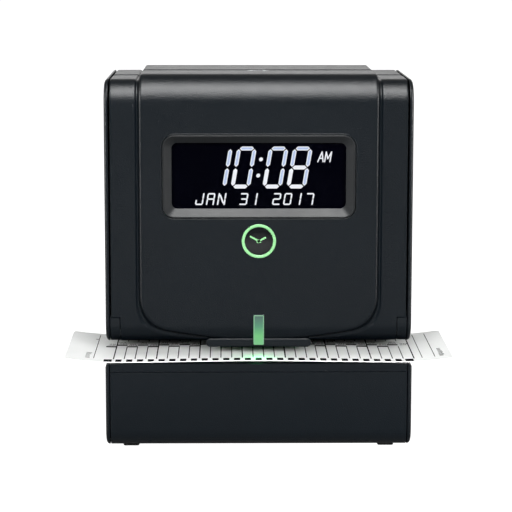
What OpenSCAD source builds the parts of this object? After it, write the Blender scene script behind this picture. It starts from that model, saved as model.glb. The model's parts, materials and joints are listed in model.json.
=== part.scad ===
// Punch time clock with a thermal printer: a base, a rear column and an overhanging head,
// with the card throat between them. Millimetres, +Z up, front towards -Y.
// The origin is at the middle of the footprint, on the surface the feet stand on.

/* [Body] */
// Width across the two side panels
body_w = 180; // [170:1:200]
// Height of the head's shoulders above the surface it stands on
head_top = 217; // [212:1:227]
// Thickness of the moulded shells
wall = 2.6; // [2:0.1:3]
// Thickness of each side panel
panel_t = 2.6; // [2.4:0.1:3.4]
// Gap left at every seam between two covers
seam = 0.3; // [0.3:0.05:0.5]
// How far the raised spine stands out of the head
spine_raise = 3; // [2:0.5:4]
// Half the width of the raised spine
spine_half = 69; // [64:1:72]

/* [Base] */
// Y of the base's front face
base_front = -64; // [-66:1:-62]
// Y of the rear face of the base and the column
rear_face = 61; // [60:1:62]
// Height of the rubber feet
foot_h = 1.6; // [1.4:0.1:2]
// Width of each square rubber foot
foot_w = 9.4; // [8:0.2:10]
// Z of the card table's top face
table_z = 51.5; // [51:0.5:52]
// Height of the table's front flange
flange_h = 4.7; // [4:0.1:5]

/* [Head] */
// Y of the head's shoulders at the front
head_front = -57; // [-58:1:-56]
// Z of the underside of the head
head_bottom = 62.3; // [62:0.1:63]
// Radius of the top front edge
brow_r = 14; // [10:1:16]
// Radius of the bottom front edge
chin_r = 12; // [11:0.5:13]
// Radius of the top rear edge
crown_r = 20; // [14:1:24]
// Y of the seam between the front cover and the rear cover
cover_seam_y = -4; // [-6:1:-3]
// Z where the spine's straight sides end
spine_corner_z = 90; // [87:1:93]
// Radius of the spine's lower corners
spine_corner_r = 20; // [16:1:22]
// Slope of the spine's lower edge at its corners, in degrees
spine_slope = 13.3; // [10:0.1:16]

/* [Display] */
// Half the width of the display bezel
bezel_half = 56.2; // [55:0.2:58]
// Z of the bezel's lower edge
bezel_low = 137; // [136:0.1:138]
// Z of the bezel's upper edge
bezel_high = 185.5; // [184.5:0.1:187]
// Half the width of the clear window
window_half = 50.8; // [50:0.2:51.6]
// Z of the window's lower edge
window_low = 142.3; // [142:0.1:143]
// Z of the window's upper edge
window_high = 180.7; // [179:0.1:181]
// Depth of the window below the spine's face
window_depth = 3.4; // [3:0.1:4]

/* [Trim] */
// Z of the badge's centre
badge_z = 123.6; // [121:0.2:125]
// Outer radius of the badge ring
badge_r = 10.1; // [9:0.1:11]
// Width of the badge ring
badge_band = 1.9; // [1.5:0.1:2.5]
// Z of the light bar's upper end
light_top = 79.9; // [77:0.1:80]
// Half the width of the light bar
light_half = 3; // [2.5:0.1:3.5]
// Half the width of the lip under the spine
nose_half = 30.9; // [28:0.1:33]
// Z of the lip's lower edge
nose_z = 60.3; // [59.6:0.1:60.6]

/* [Cover hinge and lock] */
// Y of the cover's hinge axis
hinge_y = -50; // [-50.5:0.1:-49.5]
// Z of the cover's hinge axis
hinge_z = 68; // [67.5:0.1:68.5]
// Radius of the hinge pins
pin_r = 2; // [1.8:0.1:2.2]
// Running clearance of the pins, shafts and slides
fit = 0.05; // [0.02:0.01:0.08]
// Y of the lock's axis
lock_y = -12.5; // [-13:0.1:-12]
// Radius of the lock's barrel
lock_r = 5.6; // [5:0.1:6]

/* [Card] */
// Length of the time card
card_w = 228.6; // [220:0.2:230]
// Width of the time card
card_d = 85.7; // [84:0.1:86]
// Thickness of the time card
card_t = 0.4; // [0.4:0.05:0.5]
// Y of the card's rear edge
card_rear = 24; // [23:0.5:24.5]

/* [Print mechanism] */
// Travel of the print carriage
carriage_travel = 25; // [20:1:25]
// Radius of the guide rods
guide_r = 2.5; // [2:0.1:2.8]
// Half the spacing of the guide rods
guide_half = 23; // [22:0.5:24]
// Z of the guide rods
guide_z = 91; // [90:1:92]
// Z of the pulleys' axes
pulley_z = 93; // [92:0.5:94]
// Belt's inner radius round the pulleys
belt_r = 5; // [4.8:0.1:5.2]

/* [Hidden] */
$fn = 48;
inner_half = body_w / 2 - panel_t - seam;     // half the width of everything between the side panels
panel_in = body_w / 2 - panel_t;              // inner face of a side panel
spine_front = head_front - spine_raise;
spine_top = head_top + spine_raise;
bezel_z = [bezel_low, bezel_high];
bezel_r = 7;
lcd_z = [139.5, 184];
window_z = [window_low, window_high];
window_r = 3.5;
glass_y = spine_front + window_depth;         // front face of the clear window
light_z = [head_bottom - 0.1, light_top];
hinge_at = [hinge_y, hinge_z];
frame_x = [80, 81.6];                         // the steel side frames
frame_rear = 56;
frame_top = 206;
base_round = 10;                              // radius of the base's lower front edge
round_steps = 9;                              // flats in each rounded corner
column_y = 25.2;                              // front face of the wall behind the card
platen_z = table_z - 4.2;                      // underside of the platen strip
floor_y = [-40.5, 27.5];                      // steel floor of the head
floor_t = 2;
notch_r = 12;                                 // clear circle in the cover round each hinge lug
lug_r = 11.6;
slot_half = 27;                               // slot in the head's floor that the print head comes through
head_y = [-26, -16];                          // the print head at rest, front to rear
slot_y = [head_y[0] - 5, head_y[1] + carriage_travel + 8];
head_rest_z = 63;                             // the print head's lowest face at rest
holder_top = 81;
carriage_y = [-31, -11];
carriage_z = [85, 98];
yoke_z = [121, 123];
solenoid_top = 111;
press_x = 14;                                 // the press pins, left and right of the middle
press_y = -21;
bridge_x = [-36, 44.6];
bridge_y = [-36, 27.5];
bridge_top = 105;
sheet = 1.6;                                  // thickness of the folded steel brackets
motor_y = 19;
clamp_y = [-21, -13];                         // the belt clamp at rest
idler_y = -27.6;
belt_x = [34.8, 39.2];
belt_t = 1;
lock_band = 1.4;                              // width of the lock's visible rim
cam_bore_r = 3;
cam_z = [192.4, 194.4];
board_z = [121, 201];
board_hole = [60, 129, 193];                  // x, lower z and upper z of the board's four screws
board_y = [50, 51.6];
button_pitch = 18;
button_z = 126;
jack_at = [60, 24];

// ---- helpers ----

// A box from its lowest corner to its highest
module block(lo, hi) {
    translate(lo) cube(hi - lo);
}

// Extrudes a (y, z) drawing across the body, from x0 to x1
module across(x0, x1) {
    translate([x0, 0, 0]) rotate([90, 0, 90]) linear_extrude(x1 - x0) children();
}

// Extrudes an (x, z) drawing from y0 back to y1
module frontal(y0, y1) {
    translate([0, y1, 0]) rotate([90, 0, 0]) linear_extrude(y1 - y0) children();
}

module rod_x(x0, x1, at, r) {
    translate([x0, at[0], at[1]]) rotate([0, 90, 0]) cylinder(h = x1 - x0, r = r);
}

module rod_y(y0, y1, at, r) {
    translate([at[0], y1, at[1]]) rotate([90, 0, 0]) cylinder(h = y1 - y0, r = r);
}

module rod_z(z0, z1, at, r) {
    translate([at[0], at[1], z0]) cylinder(h = z1 - z0, r = r);
}

// Points of an arc
function arc(centre, r, from, to, steps = round_steps) = [
    for (i = [0 : steps])
        let (a = from + (to - from) * i / steps)
        centre + r * [cos(a), sin(a)]
];

// A rectangle from lo to hi with rounded corners
function round_rect(lo, hi, r) = concat(
    arc([lo.x + r, lo.y + r], r, 180, 270),
    arc([hi.x - r, lo.y + r], r, 270, 360),
    arc([hi.x - r, hi.y - r], r, 0, 90),
    arc([lo.x + r, hi.y - r], r, 90, 180)
);

// Side outline of the head, as (y, z), moved outwards by d
function head_outline(d) = concat(
    arc([head_front + chin_r, head_bottom + chin_r], chin_r + d, 270, 180),
    arc([head_front + brow_r, head_top - brow_r], brow_r + d, 180, 90),
    arc([rear_face - crown_r, head_top - crown_r], crown_r + d, 90, 0),
    [[rear_face + d, head_bottom - d]]
);

// Side outline of the base, as (y, z), moved inwards by d
function base_outline(d) = concat(
    [[base_front + d, table_z]],
    arc([base_front + base_round, foot_h + base_round], base_round - d, 180, 270),
    arc([rear_face - base_round, foot_h + base_round], base_round - d, 270, 360),
    [[rear_face - d, table_z]]
);

// Front outline of the raised spine, as (x, z): straight sides, round corners, a wide shallow arc below
spine_end = [
    spine_half - spine_corner_r + spine_corner_r * sin(spine_slope),
    spine_corner_z - spine_corner_r * cos(spine_slope)
];
spine_low_r = spine_end.x / sin(spine_slope);
spine_low_c = [0, spine_end.y + spine_low_r * cos(spine_slope)];
spine_outline = concat(
    [[-spine_half, head_top + 10]],
    arc([spine_corner_r - spine_half, spine_corner_z], spine_corner_r, 180, 270 - spine_slope),
    arc(spine_low_c, spine_low_r, 270 - spine_slope, 270 + spine_slope, 16),
    arc([spine_half - spine_corner_r, spine_corner_z], spine_corner_r, 270 + spine_slope, 360),
    [[spine_half, head_top + 10]]
);

// The solid head with its raised spine
module head_solid() {
    across(-inner_half, inner_half) polygon(head_outline(0));
    intersection() {
        across(-spine_half, spine_half) polygon(head_outline(spine_raise));
        frontal(head_front - 10, rear_face + 10) polygon(spine_outline);
    }
}

// The hollow inside the head's shells
module head_hollow() {
    end_wall = 2.2;
    across(end_wall - inner_half, inner_half - end_wall) polygon(head_outline(-wall));
    inside = spine_half - wall;
    intersection() {
        across(-inside, inside) polygon(head_outline(spine_raise - wall));
        block([-inside, head_front - 5, spine_corner_z], [inside, rear_face + 5, head_top + 5]);
    }
}

// ---- base ----

module base_plate() {
    plate_t = 2;
    plate_edge = 53.4;
    color("silver") difference() {
        block([-inner_half, -plate_edge, foot_h], [inner_half, plate_edge - 3, foot_h + plate_t]);
        for (x = [-60, 60], y = [-35, 35]) rod_z(0, 10, [x, y], 2.25);
        base_screw_places() rod_z(0, 10, [0, 0], 1.5);
    }
}

// The four screws that hold the base plate to the base cover
module base_screw_places() {
    for (x = [-64, 64], y = [-47, 43]) translate([x, y, 0]) children();
}

module base_screws() {
    color("dimgray") base_screw_places() {
        rod_z(foot_h - 1, foot_h, [0, 0], 3);
        rod_z(foot_h, foot_h + 9, [0, 0], 1.5);
    }
}

module base_cover() {
    boss_top = 14;
    color("#222628") difference() {
        union() {
            difference() {
                across(-inner_half, inner_half) polygon(base_outline(0));
                across(-inner_half - 1, inner_half + 1) polygon(base_outline(wall));
                block([-100, -60, 40], [100, 57, 60]);
            }
            base_screw_places() rod_z(foot_h + 2, boss_top, [0, 0], 4);
            for (x = [-64, 64]) {
                block([x - 1, base_front + wall - 0.1, foot_h + 3], [x + 1, -49, boss_top]);
                block([x - 1, 46, foot_h + 3], [x + 1, rear_face - wall + 0.1, boss_top]);
            }
        }
        block([-100, -53.7, 0], [100, 50.7, foot_h + wall + 1]);
        block([-100, base_front - 1, table_z - flange_h - seam], [100, -50, 60]);
        base_screw_places() rod_z(0, foot_h + 9, [0, 0], 1.5);
        rod_y(50, 70, jack_at, 5);
    }
}

module card_table() {
    plate_t = 2.2;
    color("#26292b") {
        difference() {
            union() {
                block([-inner_half, base_front, table_z - plate_t], [inner_half, floor_y[1], table_z]);
                block([-inner_half, base_front, table_z - flange_h],
                    [inner_half, base_front + wall, table_z]);
            }
            block([-28, -30.5, 40], [28, 20.5, 60]);
        }
        // the shallow tray under the platen
        difference() {
            block([-34, -34, platen_z - 1.5], [34, 24, table_z - plate_t]);
            block([-31, -40, platen_z], [31, 30, 60]);
        }
    }
}

module platen_strip() {
    color("#1a1a1a") block([-27.5, -30, platen_z], [27.5, 20, table_z]);
}

// A square pad with rounded corners and a slightly smaller lower face
module foot(x, y) {
    half = foot_w / 2;
    color("#151515") translate([x, y, 0]) {
        linear_extrude(0.3) polygon(round_rect([0.2 - half, 0.2 - half], [half - 0.2, half - 0.2], 1));
        translate([0, 0, 0.3]) linear_extrude(foot_h - 0.3)
            polygon(round_rect([-half, -half], [half, half], 1.2));
    }
}

module front_left_foot() { foot(-75.5, -49); }
module front_right_foot() { foot(75.5, -49); }
module rear_left_foot() { foot(-75.5, 45); }
module rear_right_foot() { foot(75.5, 45); }

// ---- power ----

module power_jack() {
    bore_r = 2.8;
    color("#1d1d1d") difference() {
        union() {
            block(
                [jack_at[0] - 6.5, 45, jack_at[1] - 6],
                [jack_at[0] + 6.5, rear_face - wall, jack_at[1] + 6]
            );
            rod_y(rear_face - wall, rear_face - 0.2, jack_at, 4.9);
        }
        rod_y(49, 70, jack_at, bore_r);
    }
    color("gold") rod_y(49, 59, jack_at, 1);
}

module power_board() {
    color("darkgreen") {
        block([-72, -42, 9], [16, 30, 10.6]);
        for (x = [-68, 12], y = [-38, 26]) rod_z(foot_h + 2, 9, [x, y], 2.5);
    }
    // smoothing capacitors and the output connector
    color("#202a50") for (y = [-28, -12]) rod_z(10.6, 30, [-2, y], 6);
    color("white") block([2, 8, 10.6], [12, 24, 18]);
}

module power_transformer() {
    color("#6a6a66") block([-66, -32, 10.6], [-24, 8, 36]);
    color("#c8b060") block([-58, -26, 36], [-32, 2, 40]);
}

module backup_battery() {
    color("#2f6db0") for (i = [0 : 2]) rod_x(24, 74, [-30 + i * 15, foot_h + 2 + 7.25], 7.25);
    color("#222222") block([22, -30, foot_h + 2], [24, 0, 16]);
    color("#222222") block([74, -30, foot_h + 2], [76, 0, 16]);
}

// ---- frame and outer panels ----

module side_panel_outline() {
    column_overlap = 6;
    polygon(base_outline(0));
    polygon(head_outline(0));
    translate([column_y - 0.2, table_z - column_overlap])
        square([rear_face - column_y + 0.2, head_bottom - table_z + 30]);
}

module right_side_panel() {
    color("#25292b") across(panel_in, body_w / 2) side_panel_outline();
}

module left_side_panel() {
    color("#25292b") across(-body_w / 2, -panel_in) side_panel_outline();
}

// A steel side frame: base, column and head in one pressing, with the hinge lug on its outside
module side_frame() {
    base_arm_z = table_z - 2.2;
    head_arm_z = head_bottom + floor_t + 0.2;
    across(frame_x[0], frame_x[1]) polygon([
        [-50, foot_h + 2], [50, foot_h + 2], [frame_rear, 14], [frame_rear, frame_top - 7],
        [50, frame_top], [-40, frame_top], [-44, frame_top - 7], [-44, 93], [-38, 85],
        [-38, head_arm_z], [30, head_arm_z], [30, base_arm_z], [-50, base_arm_z]
    ]);
    difference() {
        intersection() {
            across(frame_x[1], inner_half) polygon(head_outline(-0.2));
            union() {
                rod_x(70, 90, hinge_at, lug_r);
                block([70, -50, head_bottom], [frame_x[1] + 2.2, -30, hinge_at[1] + 9]);
            }
        }
        rod_x(70, 90, hinge_at, pin_r);
    }
}

module right_frame() {
    color("#9a9ea0") side_frame();
}

module left_frame() {
    color("#9a9ea0") mirror([1, 0, 0]) side_frame();
}

module cover_hinge_pins() {
    color("silver") for (side = [0, 1]) mirror([side, 0, 0]) rod_x(77, inner_half, hinge_at, pin_r);
}

module rear_frame() {
    color("#8f9396") difference() {
        block([-frame_x[0], frame_rear - sheet, head_bottom + 4], [frame_x[0], frame_rear, frame_top - 7]);
        board_hole_places() rod_y(50, 60, [0, 0], 1.5);
    }
}

// Ties the frames together at the top and holds the lock's keeper
module top_crossbar() {
    color("#8f9396") {
        block([-frame_x[0], 2, 197], [frame_x[0], 14, 204]);
        block([-9, -2, 195], [9, 12, 197]);
    }
}

module head_floor() {
    color("#8f9396") difference() {
        block([-frame_x[0] + 0.2, floor_y[0], head_bottom],
            [frame_x[0] - 0.2, floor_y[1], head_bottom + floor_t]);
        block([-slot_half, slot_y[0], 50], [slot_half, slot_y[1], 80]);
        block([36, -10, 50], [44, -4, 80]);
    }
}

module card_back_wall() {
    color("#202426") block([-inner_half, column_y, table_z], [inner_half, floor_y[1], head_bottom]);
}

module rear_cover() {
    color("#272b2d") difference() {
        union() {
            head_solid();
            block([-inner_half, rear_face - 20, table_z + seam], [inner_half, rear_face, 100]);
            block([-spine_half, rear_face - 5, table_z + seam], [spine_half, rear_face + spine_raise, 100]);
        }
        head_hollow();
        block([-100, column_y - 30, table_z - 10], [100, rear_face - wall, 191]);
        block([-100, -80, 40], [100, cover_seam_y + seam / 2, 240]);
        block([-100, -80, 40], [100, 30, 200]);
    }
}

// ---- electronics ----

module main_board() {
    color("#14532d") difference() {
        block([-70, board_y[0], board_z[0]], [70, board_y[1], board_z[1]]);
        board_hole_places() rod_y(45, 55, [0, 0], 1.5);
    }
}

// The four screws that hold the main board to the rear frame
module board_hole_places() {
    for (x = [-board_hole[0], board_hole[0]], z = [board_hole[1], board_hole[2]])
        translate([x, 0, z]) children();
}

// Hexagonal spacers, each with its screw, that hold the main board off the rear frame
module board_standoffs() {
    seat = frame_rear - sheet;
    color("#c9a94a") board_hole_places() {
        translate([0, seat, 0]) rotate([90, 0, 0]) cylinder(h = seat - board_y[1], r = 3, $fn = 6);
        rod_y(board_y[0], board_y[1], [0, 0], 1.5);
        rod_y(board_y[0] - 1.6, board_y[0], [0, 0], 2.8);
        rod_y(seat, frame_rear, [0, 0], 1.5);
    }
}

module board_components() {
    color("#202020") block([-14, 47.8, 149], [6, board_y[0], 169]);
    color("#202020") block([18, 48.2, 151], [28, board_y[0], 167]);
    color("#303a60") for (x = [-48, -34]) rod_y(38, board_y[0], [x, 183], 5);
    color("white") block([-62, 42, 141], [-54, board_y[0], 173]);
    color("white") block([-20, 42, 125], [24, board_y[0], 131]);
    color("silver") rod_y(46.5, board_y[0], [48, 141], 10);
}

module sounder() {
    color("#111111") difference() {
        rod_y(40, board_y[0], [42, 177], 12);
        rod_y(35, 43, [42, 177], 2);
    }
}

module display_bracket() {
    bracket_y = [-44, -42.4];
    top = 191;
    color("#8f9396") difference() {
        block([-frame_x[0], bracket_y[0], 113], [frame_x[0], bracket_y[1], top]);
        block([-61, -50, 152], [-52, -40, 172]);
    }
    // stiffening lip folded back along the top edge
    color("#8f9396") block([-60, bracket_y[1], top - sheet], [60, -34, top]);
}

module display_board() {
    color("#14532d") block([-60, -45.6, 115], [60, -44, 188]);
    // the small switches that the setting buttons press
    color("#303030") for (i = [-1 : 1])
        block([i * button_pitch - 3, -46.2, button_z - 3], [i * button_pitch + 3, -45.6, button_z + 3]);
    color("white") block([-60, -44, 153], [-53, -42.4, 171]);
}

module backlight() {
    color("#d8dde0") block([-54, -49.6, lcd_z[0]], [54, -45.6, lcd_z[1]]);
}

module lcd_glass() {
    color("#05060a") block([-54, -52.4, lcd_z[0]], [54, -49.6, lcd_z[1]]);
}

// Flat cable from the display board back to the main board
module display_ribbon() {
    thick = 0.8;
    color("#b8b8b8") translate([0, 0, 154]) linear_extrude(16) polygon([
        [-56, -42.4], [-56, -38], [-74, -24], [-74, 34], [-62, 44], [-62, 44 + thick],
        [-74 - thick, 34 + thick], [-74 - thick, -24 - thick], [-56 - thick, -38 - thick],
        [-56 - thick, -42.4]
    ]);
}

// A push button on the display board, behind the front cover
module set_button(i) {
    color("#dcdcdc") {
        rod_y(-51.5, -49, [i * button_pitch, button_z], 4);
        rod_y(-49, -47.2, [i * button_pitch, button_z], 2.5);
    }
}

module set_button_1() { set_button(-1); }
module set_button_2() { set_button(0); }
module set_button_3() { set_button(1); }

// The lamp behind the light bar, on its own small board
module guide_led() {
    led_at = [0, 73];
    color("#14532d") block([-7, bridge_y[0] - 1.2, 67], [7, bridge_y[0], 81]);
    color("#b8f0c0") rod_y(-41, bridge_y[0] - 1.2, led_at, 2.4);
}

// Looks down through the head's floor to see the card
module card_sensor() {
    color("#181818") block([36.2, -9.8, head_bottom], [43, -4.2, 73]);
}

// ---- print mechanism ----

// Folded bracket on the head's floor: front wall, rear wall and a side wall for the motor
module print_bridge() {
    low = head_bottom + floor_t;
    color("#a5a8aa") difference() {
        union() {
            block([bridge_x[0], bridge_y[0], low], [bridge_x[1], bridge_y[0] + sheet, bridge_top]);
            block([bridge_x[0], bridge_y[1] - sheet, low], [bridge_x[1], bridge_y[1], bridge_top]);
            block([bridge_x[1] - sheet, bridge_y[0], low], [bridge_x[1], bridge_y[1], bridge_top]);
            rod_x(33.4, bridge_x[1] - sheet, [idler_y, pulley_z], 2);
        }
        guide_places() rod_y(-40, 40, [0, guide_z], guide_r);
        rod_x(40, 50, [motor_y, pulley_z], 4);
        block([bridge_x[0] - 1, bridge_y[0] - 1, 83], [-30, bridge_y[1] + 1, 111]);
    }
}

module guide_places() {
    for (x = [-guide_half, guide_half]) translate([x, 0, 0]) children();
}

module guide_rods() {
    color("#d0d4d6") guide_places() rod_y(bridge_y[0], bridge_y[1], [0, guide_z], guide_r);
}

module stepper_motor() {
    can = [bridge_x[1], bridge_x[1] + 22];
    color("#3a3d40") difference() {
        union() {
            rod_x(can[0] + 1, can[1], [motor_y, pulley_z], 17.5);
            block([can[0], motor_y - 21, pulley_z - 5], [can[0] + 1, motor_y + 8.6, pulley_z + 5]);
            rod_x(can[0], can[0] + 1, [motor_y, pulley_z], 14);
        }
        rod_x(can[0] - 1, can[0] + 12, [motor_y, pulley_z], 2.5);
        rod_x(can[0] - 1, can[0] + 2, [motor_y - 18.5, pulley_z], 1.6);
    }
}

// Toothed pulley with a flange each side, on the motor's shaft
module pulley_shape(at) {
    rod_x(belt_x[0], belt_x[1], at, belt_r - 0.3);
    rod_x(belt_x[0] - 1, belt_x[0] - 0.3, at, belt_r + 1.4);
    rod_x(belt_x[1] + 0.3, belt_x[1] + 1, at, belt_r + 1.4);
    rod_x(belt_x[0] - 0.4, belt_x[0] + 0.1, at, belt_r - 0.3);
    rod_x(belt_x[1] - 0.1, belt_x[1] + 0.4, at, belt_r - 0.3);
}

module motor_pulley() {
    at = [motor_y, pulley_z];
    color("#c8cccc") pulley_shape(at);
    color("silver") rod_x(belt_x[1] + 0.9, bridge_x[1] + 11, at, 1.5);
}

module idler_pulley() {
    at = [idler_y, pulley_z];
    color("#c8cccc") difference() {
        pulley_shape(at);
        rod_x(30, 45, at, pin_r + fit);
    }
}

module belt_outline(r) {
    translate([motor_y, pulley_z]) circle(r);
    translate([idler_y, pulley_z]) circle(r);
    translate([idler_y, pulley_z - r]) square([motor_y - idler_y, 2 * r]);
}

module drive_belt() {
    color("#101010") across(belt_x[0], belt_x[1]) difference() {
        belt_outline(belt_r + belt_t);
        belt_outline(belt_r);
    }
}

// Runs along the guide rods and carries the print head; its clamp holds the upper run of the belt
module print_carriage() {
    clamp_z = pulley_z + belt_r;
    color("#2c2f31") difference() {
        union() {
            block([-32, carriage_y[0], carriage_z[0]], [32, carriage_y[1], carriage_z[1]]);
            block([31, clamp_y[0], clamp_z - 2.2], [belt_x[1] + 1.6, clamp_y[1], clamp_z + 3]);
        }
        guide_places() rod_y(-40, 0, [0, guide_z], guide_r + fit);
        for (x = [-press_x, 0, press_x]) rod_z(carriage_z[0] - 1, solenoid_top, [x, press_y], pin_r + fit);
        block([belt_x[0] - 0.4, -30, clamp_z - 0.4], [60, -10, clamp_z + belt_t + 0.4]);
    }
}

module press_solenoid() {
    color("#7a3b20") difference() {
        rod_z(carriage_z[1], solenoid_top, [0, press_y], 8);
        rod_z(90, yoke_z[0], [0, press_y], pin_r + fit);
    }
}

module print_head_block() {
    color("#b0b4b6") block([-25, head_y[0], head_rest_z + 3], [25, head_y[1], holder_top]);
}

// The heated line on its ceramic strip
module thermal_head() {
    color("#e8e4d8") block([-24, head_y[0] + 1, head_rest_z + 0.6], [24, head_y[1] - 1, head_rest_z + 3]);
    color("#202020") block([-24, press_y - 1, head_rest_z], [24, press_y + 1, head_rest_z + 0.6]);
}

// Two press pins and the solenoid's plunger, joined by a plate above the springs
module press_yoke() {
    color("#d0d4d6") {
        for (x = [-press_x, 0, press_x]) rod_z(holder_top, yoke_z[0], [x, press_y], pin_r);
        block([-press_x - 5, press_y - 5, yoke_z[0]], [press_x + 5, press_y + 5, yoke_z[1]]);
    }
}

// Return springs round the press pins, between the carriage and the yoke
spring_r = 3.4;
spring_wire = 0.45;
spring_turns = 7;
spring_steps = 10;
spring_sides = 6;

function spring_ring(i) =
    let (
        a = 360 * i / spring_steps,
        low = carriage_z[1] + spring_wire,
        rise = (yoke_z[0] - carriage_z[1] - 2 * spring_wire) / (spring_turns * spring_steps)
    )
    [
        for (k = [0 : spring_sides - 1])
            let (b = 360 * k / spring_sides, r = spring_r + spring_wire * cos(b))
            [r * cos(a), r * sin(a), low + rise * i + spring_wire * sin(b)]
    ];

module spring() {
    rings = spring_turns * spring_steps;
    points = [for (i = [0 : rings]) each spring_ring(i)];
    faces = concat(
        [[for (k = [0 : spring_sides - 1]) k]],
        [
            for (i = [0 : rings - 1], k = [0 : spring_sides - 1])
                let (a = i * spring_sides, b = a + spring_sides, n = (k + 1) % spring_sides)
                [a + k, b + k, b + n, a + n]
        ],
        [[for (k = [spring_sides - 1 : -1 : 0]) rings * spring_sides + k]]
    );
    polyhedron(points, faces);
}

module head_springs() {
    color("silver") for (x = [-press_x, press_x]) translate([x, press_y, 0]) spring();
}

// ---- front cover and what it carries ----

module front_cover() {
    boss_x = [77, frame_x[1] - 0.4];
    // inner faces of the two notches for the hinge lugs, and of the ends beside them
    notch_x = 81.2;
    end_x = 76.9;
    beyond = 100;
    below = 40;
    color("#272b2d") difference() {
        union() {
            difference() {
                head_solid();
                head_hollow();
            }
            intersection() {
                head_solid();
                for (side = [0, 1]) mirror([side, 0, 0]) rod_x(boss_x[0], boss_x[1], hinge_at, 5);
            }
        }
        // open at the rear, and below behind the chin
        block([-beyond, cover_seam_y - seam / 2, below], [beyond, beyond, spine_top + 20]);
        block([-end_x, head_front + chin_r, below], [end_x, beyond, spine_corner_z - 10]);
        for (side = [0, 1]) mirror([side, 0, 0]) {
            block([notch_x, hinge_at[0], below], [beyond, beyond, hinge_at[1] + notch_r]);
            block([end_x, hinge_at[0] + 5, below], [notch_x + 0.1, beyond, hinge_at[1] + notch_r]);
            rod_x(notch_x, beyond, hinge_at, notch_r);
            block([notch_x, -beyond, below], [beyond, hinge_at[0], hinge_at[1]]);
            rod_x(70, 90, hinge_at, pin_r + fit);
        }
        // openings for the bezel, the badge, the light bar and the lock
        frontal(-70, -40) polygon(round_rect([-bezel_half, bezel_z[0]], [bezel_half, bezel_z[1]], bezel_r));
        rod_y(-70, spine_front + 0.8, [0, badge_z], badge_r);
        block([-light_half, -70, 50], [light_half, -50, light_z[1]]);
        rod_z(head_top - 10, spine_top + 10, [0, lock_y], lock_r + lock_band);
    }
}

module display_bezel() {
    window = round_rect([-window_half, window_z[0]], [window_half, window_z[1]], window_r);
    color("#3a3e41") difference() {
        frontal(spine_front, glass_y + 2)
            polygon(round_rect([-bezel_half, bezel_z[0]], [bezel_half, bezel_z[1]], bezel_r));
        // the splayed sides of the recess, from the outer edge down to the window
        bezel_splay();
        frontal(-70, -40) polygon(window);
        lens_space();
    }
}

// The space cut out of the bezel by its sloping sides
module bezel_splay() {
    lip = 0.9;
    steps = 8;
    for (i = [0 : steps - 1]) {
        t = i / steps;
        grow = [
            (bezel_half - lip - window_half) * (1 - t),
            (window_z[0] - bezel_z[0] - lip) * (1 - t)
        ];
        frontal(spine_front - 1, spine_front + window_depth * (i + 1) / steps) polygon(round_rect(
            [-window_half, window_z[0]] - grow,
            [window_half, window_z[1]] + [grow.x, (bezel_z[1] - lip - window_z[1]) * (1 - t)],
            window_r + (bezel_r - 1 - window_r) * (1 - t)
        ));
    }
}

module lens_space() {
    lens_lap = 1.4;
    frontal(glass_y, glass_y + 1.5) polygon(round_rect(
        [-window_half - lens_lap, window_z[0] - lens_lap],
        [window_half + lens_lap, window_z[1] + lens_lap],
        4
    ));
}

module display_lens() {
    color("#0a0c10") lens_space();
}

module badge_ring() {
    color("#7be08a") difference() {
        rod_y(spine_front - 0.5, spine_front + 0.8, [0, badge_z], badge_r);
        rod_y(-70, -50, [0, badge_z], badge_r - badge_band);
    }
}

// Glossy disc with a plain pair of clock hands
module badge_disc() {
    color("#0b0d0e") rod_y(spine_front - 0.1, spine_front + 0.8, [0, badge_z], badge_r - badge_band);
    color("#7be08a") {
        translate([0, 0, badge_z]) rotate([0, 60, 0])
            block([-0.5, spine_front - 0.4, -0.5], [0.5, spine_front - 0.1, 4.4]);
        translate([0, 0, badge_z]) rotate([0, -60, 0])
            block([-0.5, spine_front - 0.4, -0.5], [0.5, spine_front - 0.1, 5.8]);
        rod_y(spine_front - 0.4, spine_front - 0.1, [0, badge_z], 1);
    }
}

module light_bar() {
    color("#3fae68") block([-light_half, spine_front - 1, light_z[0]], [light_half, -52, light_z[1]]);
}

// The lip under the spine, just in front of the print head
module print_nose() {
    nose_front = spine_front + 2.5;
    color("#191c1d") difference() {
        intersection() {
            frontal(-70, -40) polygon(round_rect([-nose_half, nose_z], [nose_half, 70], 2.4));
            block([-50, nose_front, 50], [50, -51, 64.5]);
        }
        head_solid();
        block([-light_half, -70, light_z[0]], [light_half, -52, 80]);
    }
}

// Sleeve of the lock, with a flange under the cover's top wall
module lock_housing() {
    low = head_top - 10;
    color("#b9bdc0") difference() {
        union() {
            rod_z(low, spine_top - 0.3, [0, lock_y], lock_r + lock_band);
            rod_z(low, spine_top - wall - 0.1, [0, lock_y], lock_r + lock_band + 1);
        }
        rod_z(low - 1, spine_top, [0, lock_y], lock_r + fit);
    }
}

module lock_barrel() {
    keyway = 3.2;
    color("#d8dbdd") difference() {
        rod_z(cam_z[1] + 1.6, spine_top - 0.6, [0, lock_y], lock_r);
        block([-0.5, lock_y - keyway, spine_top - 6], [0.5, lock_y + keyway, spine_top + 5]);
    }
    color("#c0c4c6") rod_z(cam_z[0] - 1.4, cam_z[1] + 1.6, [0, lock_y], cam_bore_r);
}

// Points to the left when unlocked, and under the keeper when turned
module lock_cam() {
    color("#b5b9bc") difference() {
        block([-22, lock_y - 5, cam_z[0]], [5, lock_y + 5, cam_z[1]]);
        rod_z(180, 210, [0, lock_y], cam_bore_r);
    }
}

// ---- card ----

// Height of the card's underside: it arches a little in the middle and its ends curl up
function card_z(x) =
    table_z + 0.4 + 0.9 * pow(cos(min(abs(x), 84) * 90 / 84), 2)
    + 2.4 * pow(max(abs(x) - 84, 0) / 30, 2);

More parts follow.
